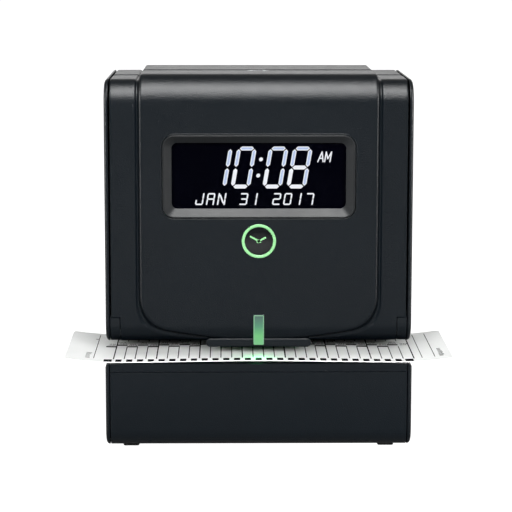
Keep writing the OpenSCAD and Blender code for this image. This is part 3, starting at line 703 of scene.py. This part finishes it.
def rolled_edge():
    """Rounded edge of the front cover's opening, all round the bezel."""
    r, proud = 0.38 * MM, 0.26 * MM
    rings = []
    for a in range(0, 360, 30):
        out = FIT + r * (1 + math.cos(math.radians(a)))
        points = round_rect(-BEZEL_HALF - out, BEZEL_HALF + out, BEZEL_LOW - out, BEZEL_HIGH + out,
                            BEZEL_R + out, 10)
        depth = SPINE_FRONT + proud - r * math.sin(math.radians(a))
        rings.append([place(p, depth, 1) for p in points])
    return loft("rolled_edge", rings, MATS["shell"], closed_loop=True)


def rear_cover():
    """Rear cover: the head's outline from the seam over the top and down the back."""
    def keep(y, z):
        return y > SEAM_REAR + 0.01 * MM and (z > 150 * MM or y > 0)

    rows = [r for r in side_rows() if keep(r[0], r[1])]
    parts = [head_shell("piece_rear_cover", keep, MATS["shell"])]
    for side in (-1, 1):
        closing = [(PANEL_REAR - 4 * MM, REAR_LOW), (PANEL_REAR - 4 * MM, 190 * MM),
                   (30 * MM, 205 * MM), (SEAM_REAR, 205 * MM)]
        parts.append(head_end("end", rows, closing, side * END_X))
    return sharp_by_angle(join("piece_rear_cover", parts), 35)


def side_panel(side):
    """Outer panel with a soft outer edge, in the shape of base, column and overhanging head."""
    foot = span("front_left_foot", 2)[1]
    outline = [(PANEL_FRONT, TABLE_TOP)]
    outline += arc((PANEL_FRONT + BASE_ROUND, foot + BASE_ROUND), BASE_ROUND, 180, 270, 10)
    outline += arc((PANEL_REAR - BASE_ROUND, foot + BASE_ROUND), BASE_ROUND, 270, 360, 10)
    outline += [(PANEL_REAR, TABLE_TOP), (PANEL_REAR, HEAD_BASE)]
    outline += arc((PANEL_REAR - CROWN_R, SHOULDER_TOP - CROWN_R), CROWN_R, 0, 90, 16)
    outline += arc((HEAD_FRONT + BROW_R, SHOULDER_TOP - BROW_R), BROW_R, 90, 180, 14)
    outline += arc((HEAD_FRONT + CHIN_R, HEAD_BASE + CHIN_R), CHIN_R, 180, 270, 14)
    outline += [(COLUMN_Y, HEAD_BASE), (COLUMN_Y, TABLE_TOP)]
    name = "piece_right_side_panel" if side > 0 else "piece_left_side_panel"
    lo, hi = sorted((side * SIDE_IN, side * SIDE_OUT))
    inner_edge, outer_edge = 0.25 * MM, 2.9 * MM
    edges = (inner_edge, outer_edge) if side > 0 else (outer_edge, inner_edge)
    return rounded_plate(name, outline, 0, lo, hi, MATS["shell"], *edges, steps=7)


# ---- display ----

def bezel():
    window_r, outer_r = 3.5 * MM, BEZEL_R
    x1, z0, z1 = BEZEL_HALF, BEZEL_LOW, BEZEL_HIGH
    back = span("display_bezel", 1)[1]
    glass_y = LENS_FRONT

    def ring(y, grow_in, r, t=None):
        """Outline at a depth: grow_in insets the outer edge, t slides from the outer edge to the window."""
        if t is None:
            points = round_rect(-x1 + grow_in, x1 - grow_in, z0 + grow_in, z1 - grow_in, r, 10)
        else:
            half = (x1 - LIP) * (1 - t) + WINDOW_HALF * t
            low = (z0 + LIP) * (1 - t) + WINDOW_Z[0] * t
            high = (z1 - LIP) * (1 - t) + WINDOW_Z[1] * t
            points = round_rect(-half, half, low, high, r, 10)
        return [place(p, y, 1) for p in points]

    front = SPINE_FRONT
    rings = [ring(back, 0.1 * MM, outer_r), ring(back - 0.1 * MM, 0, outer_r)]
    for a in range(0, 91, 15):
        s, c = math.sin(math.radians(a)), math.cos(math.radians(a))
        rings.append(ring(front + 0.6 * MM * (1 - s), 0.6 * MM * (1 - c), outer_r))
    for t, sink in ((-0.10, 0.0), (-0.03, 0.04), (0.03, 0.16), (0.10, 0.42), (0.95, 3.22), (1.0, 3.4)):
        r = outer_r - 1 * MM + (window_r - outer_r + 1 * MM) * max(t, 0)
        rings.append(ring(front + sink * MM, 0, r, t))
    rings.append(ring(glass_y + 0.1 * MM, 0, window_r, 1.0))
    rings.append(ring(back, 0, window_r, 1.0))
    obj = loft("piece_display_bezel", rings, MATS["bezel"], closed_loop=True)
    return sharp_by_angle(obj, 22)


# Segments lit by each character, lettered round from the top with g in the middle
DIGITS = {"0": "abcdef", "1": "bc", "8": "abcdefg"}


def segment_polygon(x, z, w, h, thick, which):
    """One bar of a seven-segment character whose box starts at x, z."""
    gap = thick * 0.19
    mid = z + h / 2
    half = thick / 2

    def flat(zc, inset):
        x0, x1 = x + inset + gap, x + w - inset - gap
        return [(x0, zc), (x0 + half, zc - half), (x1 - half, zc - half), (x1, zc), (x1 - half, zc + half),
                (x0 + half, zc + half)]

    def upright(xc, lo, hi):
        lo, hi = lo + gap, hi - gap
        return [(xc, lo), (xc + half, lo + half), (xc + half, hi - half), (xc, hi), (xc - half, hi - half),
                (xc - half, lo + half)]

    left, right = x + half, x + w - half
    bars = {
        "a": flat(z + h - half, half), "g": flat(mid, half), "d": flat(z + half, half),
        "b": upright(right, mid, z + h - half), "c": upright(right, z + half, mid),
        "e": upright(left, z + half, mid), "f": upright(left, mid, z + h - half),
    }
    return bars[which]


def strokes_polygon(p, q, thick):
    """A straight bar between two points with pointed-round ends."""
    dx, dz = q[0] - p[0], q[1] - p[1]
    length = math.hypot(dx, dz)
    ux, uz = dx / length, dz / length
    h = thick / 2
    out = []
    for (cx, cz), sign in ((p, -1), (q, 1)):
        for turn in (-90, -45, 0, 45, 90):
            a = math.radians(turn)
            along, side = math.cos(a) * sign * h, -math.sin(a) * sign * h
            out.append((cx + ux * along - uz * side, cz + uz * along + ux * side))
    return out[::-1]


# Strokes of the smaller characters, in a box 1 wide and 1 high
STROKES = {
    "a": [((0, 0), (0.5, 1)), ((0.5, 1), (1, 0)), ((0.2, 0.35), (0.8, 0.35))],
    "M": [((0, 0), (0, 1)), ((0, 1), (0.5, 0.3)), ((0.5, 0.3), (1, 1)), ((1, 1), (1, 0))],
    "J": [((0, 0.36), (0, 0.08)), ((0.1, 0), (0.9, 0)), ((1, 0.08), (1, 0.42)), ((1, 0.58), (1, 1))],
    "A": [((0, 0), (0, 0.42)), ((0, 0.58), (0, 0.92)), ((0.1, 1), (0.9, 1)), ((1, 0.92), (1, 0.58)),
          ((1, 0.42), (1, 0)), ((0.16, 0.5), (0.84, 0.5))],
    "N": [((0, 0), (0, 0.42)), ((0, 0.58), (0, 1)), ((0.2, 0.86), (0.8, 0.14)), ((1, 0), (1, 0.42)),
          ((1, 0.58), (1, 1))],
    "0": [((0, 0.08), (0, 0.42)), ((0, 0.58), (0, 0.92)), ((0.12, 1), (0.88, 1)), ((1, 0.92), (1, 0.58)),
          ((1, 0.42), (1, 0.08)), ((0.88, 0), (0.12, 0))],
    "1": [((0.75, 0), (0.75, 0.42)), ((0.75, 0.58), (0.75, 1))],
    "2": [((0.05, 1), (0.88, 1)), ((1, 0.92), (1, 0.58)), ((0.88, 0.5), (0.12, 0.5)),
          ((0, 0.42), (0, 0.08)), ((0.12, 0), (0.95, 0))],
    "3": [((0.05, 1), (0.88, 1)), ((1, 0.92), (1, 0.58)), ((0.2, 0.5), (0.86, 0.5)), ((1, 0.42), (1, 0.08)),
          ((0.88, 0), (0.05, 0))],
    "7": [((0.05, 1), (0.88, 1)), ((1, 0.92), (1, 0.58)), ((1, 0.42), (1, 0.0))],
}
SLANT = 0.17


def extrude_shapes(name, shapes, y, depth, mat, lean):
    """Thin plates from (x, z) polygons, leaning over to the right by lean about their base."""
    verts, faces = [], []
    for shape, base in shapes:
        start, count = len(verts), len(shape)
        for d in (0, depth):
            verts += [(px + (pz - base) * lean, y + d, pz) for px, pz in shape]
        faces.append(tuple(range(start, start + count)))
        faces.append(tuple(range(start + count, start + 2 * count))[::-1])
        for k in range(count):
            n = (k + 1) % count
            faces.append((start + n, start + k, start + count + k, start + count + n))
    return outwards(add_object(name, verts, faces, mat, smooth=False))


def shrink(shape, by):
    """The polygon moved in on every side."""
    points = np.array(shape, float)
    area = sum(p[0] * q[1] - q[0] * p[1] for p, q in zip(points, np.roll(points, -1, axis=0)))
    if area < 0:
        points = points[::-1]
    return [tuple(p) for p in points - outline_normals(points) * by]


def display_text():
    """The time and the date, made of thin plates just in front of the black panel."""
    big, small, cores = [], [], []
    # hours and minutes
    z, h, w, thick = 153.6 * MM, 24.6 * MM, 11.4 * MM, 2.3 * MM
    for char, x in (("1", -30.6), ("0", -16.6), ("0", 1.9), ("8", 16.0)):
        for which in DIGITS[char]:
            shape = segment_polygon(x * MM, z, w, h, thick, which)
            big.append((shape, z))
            if which in "abcf":
                cores.append((shrink(shape, 0.5 * MM), z))
    # the two dots between them
    for x, zc in ((-0.3, 161.2), (1.3, 170.7)):
        big.append((arc((x * MM, zc * MM), 1.15 * MM, 0, 330, 11), zc * MM))
    # morning mark, then the date below
    for char, x in (("a", 34.4), ("M", 38.4)):
        for p, q in STROKES[char]:
            base = 169.3 * MM
            ends = [((x + u * 3.1) * MM, base + v * 5.7 * MM) for u, v in (p, q)]
            small.append((strokes_polygon(*ends, 0.7 * MM), base))
    for i, char in enumerate("JAN 31 2017"):
        for p, q in STROKES.get(char, []):
            base, x = 144.3 * MM, -36.9 + 6.43 * i
            ends = [((x + u * 3.8) * MM, base + v * 6.2 * MM) for u, v in (p, q)]
            small.append((strokes_polygon(*ends, 0.85 * MM), base))
    front = LCD_FRONT - 0.08 * MM
    white = extrude_shapes("piece_segments_rim", big + small, front, 0.06 * MM, SEGMENT_WHITE, SLANT)
    blue = extrude_shapes("piece_segments_core", cores, front - 0.05 * MM, 0.06 * MM, SEGMENT_BLUE, SLANT)
    return [white, blue]


# ---- badge, light bar and lip ----

def badge():
    """Rounded green ring, a shallow glossy disc inside it, and two clock hands on the disc."""
    y0, y1 = span("badge_ring", 1)
    band = BADGE_R - DISC_R
    profile = [(BADGE_R - 0.05 * MM, y1), (BADGE_R - 0.05 * MM, y0 + 0.5 * MM)]
    for a in range(0, 181, 15):
        s, c = math.sin(math.radians(a)), math.cos(math.radians(a))
        profile.append((BADGE_R - band / 2 + (band / 2 - 0.05 * MM) * c, y0 + 0.5 * MM * (1 - s)))
    profile += [(DISC_R + 0.05 * MM, y1)]
    rings = [[place(p, depth, 1) for p in arc((0, BADGE_Z), r, 0, 356.25, 95)] for r, depth in profile]
    ring = sharp_by_angle(loft("piece_badge_ring", rings, MATS["ring"], closed_loop=True), 50)
    d0, d1 = span("badge_disc", 1)
    face = d0 + 0.3 * MM
    dome = [(DISC_R - 0.02 * MM, d1), (DISC_R - 0.02 * MM, face + 0.25 * MM)]
    for t in (0.985, 0.95, 0.85, 0.7, 0.5, 0.3, 0.1, 0.002):
        dome.append((DISC_R * t, face + 0.22 * MM * t ** 4 - 0.12 * MM * (1 - t * t)))
    disc = turned("piece_badge_disc", dome, (0, BADGE_Z), 1, MATS["badge"], 96)
    hands = []
    for length, angle in ((5.6, 150), (4.3, 30)):
        a = math.radians(angle)
        tip = (length * MM * math.cos(a), BADGE_Z + length * MM * math.sin(a))
        tail = (-1.0 * MM * math.cos(a), BADGE_Z - 1.0 * MM * math.sin(a))
        hands.append((strokes_polygon(tail, tip, 1.0 * MM), 0))
    hands.append((arc((0, BADGE_Z), 0.95 * MM, 0, 345, 23), 0))
    plates = extrude_shapes("piece_badge_hands", hands, d0 - 0.02 * MM, 0.3 * MM, MATS["ring"], 0)
    return [ring, disc, plates]


def light_bar():
    """Frosted bar with brighter rims, and the lit underside of the lip that throws its glow on the card."""
    lo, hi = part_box("light_bar")
    outline = round_rect(lo.x, hi.x, lo.z, hi.z, 0.5 * MM, 4)
    bar = rounded_plate("piece_light_bar", outline, 1, lo.y, hi.y, MATS["light_guide"], 0.45 * MM,
                        0.1 * MM, 4)
    rims = []
    for x0, x1 in ((lo.x + 0.02 * MM, lo.x + 0.55 * MM), (hi.x - 0.55 * MM, hi.x - 0.02 * MM)):
        rims.append(box_piece("rim", (x0, lo.y - 0.05 * MM, lo.z + 0.5 * MM),
                              (x1, lo.y + 1 * MM, hi.z - 0.3 * MM), BAR_RIM, 0.15 * MM, axis=2))
    rims.append(box_piece("rim", (lo.x + 0.3 * MM, lo.y - 0.05 * MM, hi.z - 0.6 * MM),
                          (hi.x - 0.3 * MM, lo.y + 1 * MM, hi.z - 0.05 * MM), BAR_RIM, 0.15 * MM, axis=0))
    rim = join("piece_light_rim", rims)
    under = span("print_nose", 2)[0]
    edge = span("print_nose", 1)[0] + 1.2 * MM
    foot = box_piece("piece_light_foot", (lo.x + 0.6 * MM, edge, under - 0.06 * MM),
                     (hi.x - 0.6 * MM, edge + 3 * MM, under - 0.01 * MM), BAR_FOOT, 0.02 * MM)
    return [bar, rim, foot]


def nose():
    """Rounded lip under the spine, cut out for the light bar."""
    lo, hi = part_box("print_nose")
    outline = round_rect(lo.x, hi.x, lo.z, hi.z + 1 * MM, 2.4 * MM, 8)
    obj = rounded_plate("piece_print_nose", outline, 1, lo.y, hi.y, MATS["shell_dark"], 0.9 * MM,
                        0.1 * MM, 5)
    cut(obj, plain_box("cut_light", (-LIGHT_HALF - FIT, AHEAD, LIGHT_Z[0] - FIT),
                       (LIGHT_HALF + FIT, -50 * MM, 90 * MM)))
    return sharp_by_angle(obj, 35)


# ---- card ----

CARD_LO, CARD_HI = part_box("time_card")
CARD_T = 0.4 * MM
CARD_CORNER = 2.2 * MM
# The card bows up between the sides of the throat and curls up beyond them
BOW_HALF = 84 * MM


def card_height(x):
    """Height of the card's underside across its length."""
    bow = 0.9 * math.cos(min(abs(x), BOW_HALF) / BOW_HALF * math.pi / 2) ** 2
    curl = 2.4 * (max(abs(x) - BOW_HALF, 0) / (30 * MM)) ** 2
    return TABLE_TOP + (0.4 + bow + curl) * MM


def card():
    """The bowed card, its rows closer together where its corners are rounded."""
    verts = []
    columns = np.linspace(CARD_LO.x, CARD_HI.x, 161)
    depth = CARD_HI.y - CARD_LO.y
    front_rows = [0, 0.25, 0.7, 1.3, 2.2, 6]
    middle_rows = [6 + 73.7 * k / 12 for k in range(1, 12)]
    rear_rows = [79.7, 83.5, 84.4, 85, 85.45, 85.7]
    rows = front_rows + middle_rows + rear_rows
    for top in (0, 1):
        for row in rows:
            v = row * MM
            inset = edge_drop(max(0.0, min(v, depth - v)), CARD_CORNER)
            for x in columns:
                px = x * (1 - inset / CARD_HI.x)
                verts.append((px, CARD_LO.y + v, card_height(px) + CARD_T * top))
    faces = skin_faces(len(rows), len(columns))
    return sharp_by_angle(outwards(add_object("piece_card", verts, faces, MATS["card"])), 30)


def card_strip(bars, name, mat, lift=0.03 * MM):
    """Printed bars on the card: each is (x0, x1, y0, y1), from the card's middle and its front edge."""
    verts, faces = [], []
    for x0, x1, y0, y1 in bars:
        steps = max(1, int((x1 - x0) / (3 * MM)))
        start = len(verts)
        for k in range(steps + 1):
            x = x0 + (x1 - x0) * k / steps
            z = card_height(x) + CARD_T
            for y in (CARD_LO.y + y0, CARD_LO.y + y1):
                verts += [(x, y, z - 0.05 * MM), (x, y, z + lift)]
        for k in range(steps):
            a, b = start + 4 * k, start + 4 * (k + 1)
            faces += [(a + 1, b + 1, b + 3, a + 3), (a, a + 2, b + 2, b), (a, b, b + 1, a + 1),
                      (a + 2, a + 3, b + 3, b + 2)]
        last = start + 4 * steps
        faces += [(start, start + 1, start + 3, start + 2), (last, last + 2, last + 3, last + 1)]
    return add_object(name, verts, faces, mat, smooth=False)


def card_print():
    """Printed frame of a time card: dashes along the front edge, column lines and a stepped middle rule."""
    rng = random.Random(7)
    pitch = 6.35 * MM
    first, count = -14, 29
    dark, faint = [], []
    for k in range(first, first + count):
        x = k * pitch
        last = k == first + count - 1
        end = k == first or last
        half = 2.4 * MM if end else 1.8 * MM
        dark.append((x - half, x + half, 0.5 * MM, 7.4 * MM))
        edge = x + pitch / 2
        heavy = (k - first) % 4 == 0
        if heavy:
            dark.append((edge - 0.36 * MM, edge + 0.36 * MM, 8.2 * MM, 82 * MM))
        else:
            faint.append((edge - 0.29 * MM, edge + 0.29 * MM, 9 * MM, 46 * MM))
            faint.append((edge - 0.24 * MM, edge + 0.24 * MM, 62 * MM, 82 * MM))
        middle = (49 if k % 2 else 44) * MM
        if not last:
            dark.append((edge - pitch, edge, middle, middle + 3.2 * MM))
        for row in range(2):
            mark = x + rng.uniform(-2.2, -1.2) * MM
            while mark < x + 2.2 * MM:
                width = rng.uniform(0.3, 0.7) * MM
                y = middle + (5.2 + 3.4 * row) * MM
                faint.append((mark, mark + width, y, y + 1.7 * MM))
                mark += width + rng.uniform(0.3, 0.6) * MM
    for x in (-97.5, 97.0, 104.5):
        faint.append(((x - 0.22) * MM, (x + 0.22) * MM, 9 * MM, 80 * MM))
    for side, rows in ((-1, 5), (1, 7)):
        for row in range(rows):
            x = side * (101 + 8 * (side > 0)) * MM
            y = (10 + row * 3.4) * MM
            faint.append((x - 1.6 * MM, x + rng.uniform(0.4, 1.8) * MM, y, y + 1.2 * MM))
    faint.append((-99.5 * MM, -97.9 * MM, 66 * MM, 67.5 * MM))
    return [card_strip(dark, "piece_card_rules", INK), card_strip(faint, "piece_card_marks", FAINT_INK)]


# ---- build ----

def stands_for(pieces, body, nodes):
    for piece in pieces:
        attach(piece, body)
    for node in nodes:
        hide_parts(node)


stands_for([front_cover()], "cover", ["front_cover"])
stands_for([rear_cover()], "clock", ["rear_cover"])
stands_for([side_panel(1)], "clock", ["right_side_panel"])
stands_for([side_panel(-1)], "clock", ["left_side_panel"])
stands_for([bezel()], "cover", ["display_bezel"])
rim, core = display_text()
stands_for([rim], "clock", [])
stands_for([core], "clock", [])
ring, disc, hands = badge()
stands_for([ring], "cover", ["badge_ring"])
stands_for([hands], "cover", [])
stands_for([disc], "cover", ["badge_disc"])
bar, bar_rim, bar_foot = light_bar()
stands_for([bar], "cover", ["light_bar"])
stands_for([bar_rim, bar_foot], "cover", [])
stands_for([nose()], "cover", ["print_nose"])
paper = [card()] + card_print()
stands_for(paper, "card", ["time_card"])
for piece in paper:
    piece.visible_glossy = False

# The rest keep their CAD shapes, with rounded edges and the same finishes
replaced = {"front_cover", "rear_cover", "right_side_panel", "left_side_panel", "display_bezel",
            "badge_ring", "badge_disc", "light_bar", "print_nose", "time_card"}
EDGES = {"head_springs": 0.0, "display_lens": 0.1 * MM, "card_table": 0.4 * MM, "base_cover": 0.6 * MM,
         "lcd_glass": 0.1 * MM}
slot_of = {part["node"]: part["material_slot"] for part in frame["record"]["subparts"]}
for node, obj in frame["nodes"].items():
    if node in replaced:
        continue
    obj.data.materials.clear()
    obj.data.materials.append(MATS[slot_of[node]])
    width = EDGES.get(node, 0.25 * MM)
    if width:
        bevel = obj.modifiers.new("edges", "BEVEL")
        bevel.width = width
        bevel.segments = 2
        bevel.limit_method = "ANGLE"
        bevel.angle_limit = math.radians(40)
        bevel.use_clamp_overlap = True
        bevel.harden_normals = True


# ---- stage ----

def floor():
    half = 6.0
    corners = [(-half, -half, 0), (half, -half, 0), (half, half, 0), (-half, half, 0)]
    add_object("floor", corners, [(0, 1, 2, 3)], FLOOR, False)


def floor_material():
    """Pale floor, white where it is seen directly; as light and in reflections, painted shade close round
    the object, a painted pool of light further out and dim far away.
    """
    mat, tree, shader, out = new_material("pale_floor")
    away = tree.nodes.new("ShaderNodeVectorMath")
    away.operation = "LENGTH"
    tree.links.new(object_point(tree), away.inputs[0])
    patchy = tree.nodes.new("ShaderNodeMath")
    patchy.operation = "MULTIPLY_ADD"
    tree.links.new(noise(tree, object_point(tree), 2.0), patchy.inputs[0])
    patchy.inputs[1].default_value = 0.1
    tree.links.new(away.outputs["Value"], patchy.inputs[2])
    # Painted shade within about 0.24 m of the object, a painted pool of light from about 0.5 to 0.7 m out,
    # dim beyond 1.2 m; it shows only in reflections and as light
    tree.links.new(ramp(tree, map_range(tree, patchy.outputs[0], 0, 2),
                        [(0.12, grey(0.13)), (0.24, grey(0.36)), (0.34, grey(0.36)), (0.60, grey(0.05))]),
                   shader.inputs["Base Color"])
    shader.inputs["Roughness"].default_value = 0.9
    shader.inputs["Specular IOR Level"].default_value = 0.1
    white = tree.nodes.new("ShaderNodeEmission")
    white.inputs["Strength"].default_value = 1.1
    both = tree.nodes.new("ShaderNodeAddShader")
    tree.links.new(shader.outputs[0], both.inputs[0])
    tree.links.new(white.outputs[0], both.inputs[1])
    path = tree.nodes.new("ShaderNodeLightPath")
    mix = tree.nodes.new("ShaderNodeMixShader")
    tree.links.new(path.outputs["Is Camera Ray"], mix.inputs[0])
    tree.links.new(shader.outputs[0], mix.inputs[1])
    tree.links.new(both.outputs[0], mix.inputs[2])
    tree.links.new(mix.outputs[0], out.inputs[0])
    return mat


FLOOR = floor_material()
floor()


def area_light(name, place_at, aim, size, watts):
    data = bpy.data.lights.new(name, "AREA")
    data.shape = "RECTANGLE"
    data.size, data.size_y = size
    data.energy = watts
    obj = bpy.data.objects.new(name, data)
    bpy.context.scene.collection.objects.link(obj)
    obj.location = place_at
    obj.rotation_euler = (Vector(aim) - Vector(place_at)).to_track_quat("-Z", "Y").to_euler()
    return obj


# Boxes seen only in the gloss shape the highlights; the two that aren't light the card and the floor
top = area_light("softbox_top", (0.0, -0.78, 1.5), (0, 0, 0.2), (1.0, 1.3), 38)
top.visible_diffuse = False
fill = area_light("softbox_low", (0.0, -2.0, 0.66), (0, 0, 0.06), (1.8, 0.3), 108)
fill.visible_glossy = False
key = area_light("softbox_high", (0.0, -1.3, 1.5), (0, 0, 0.06), (1.4, 0.8), 17)
key.visible_glossy = False
for side in (-1, 1):
    wing = area_light("softbox_side", (1.6 * side, -0.05, 0.5), (0, 0, 0.1), (0.5, 1.0), 16)
    wing.visible_diffuse = False


def studio_world():
    """White seen directly; as light, bright low down behind the object and dim in front of it."""
    world = bpy.data.worlds.new("studio")
    bpy.context.scene.world = world
    world.use_nodes = True
    tree = world.node_tree
    tree.nodes.clear()
    out = tree.nodes.new("ShaderNodeOutputWorld")
    seen = tree.nodes.new("ShaderNodeBackground")
    seen.inputs[0].default_value = (1, 1, 1, 1)
    seen.inputs[1].default_value = 1.05
    light = tree.nodes.new("ShaderNodeBackground")
    parts = tree.nodes.new("ShaderNodeSeparateXYZ")
    tree.links.new(tree.nodes.new("ShaderNodeTexCoord").outputs["Generated"], parts.inputs[0])
    tree.links.new(ramp(tree, map_range(tree, parts.outputs["Y"], -1, 1),
                        [(0.0, grey(0.02)), (0.55, grey(0.045)), (0.94, grey(0.08)), (0.98, grey(0.40)),
                         (1.0, grey(0.9))]), light.inputs[0])
    light.inputs[1].default_value = 1.6
    path = tree.nodes.new("ShaderNodeLightPath")
    mix = tree.nodes.new("ShaderNodeMixShader")
    tree.links.new(path.outputs["Is Camera Ray"], mix.inputs[0])
    tree.links.new(light.outputs[0], mix.inputs[1])
    tree.links.new(seen.outputs[0], mix.inputs[2])
    tree.links.new(mix.outputs[0], out.inputs[0])


studio_world()

camera_data = bpy.data.cameras.new("camera")
camera = bpy.data.objects.new("camera", camera_data)
bpy.context.scene.collection.objects.link(camera)
camera_data.lens = 144.16
camera_data.sensor_width = 36
camera.location = (-0.0185, -1.2419, 0.2964)
camera.rotation_euler = (math.radians(90 - 8.731), math.radians(-0.06), math.radians(-0.807))
bpy.context.scene.camera = camera
bpy.context.scene.view_settings.view_transform = "Standard"
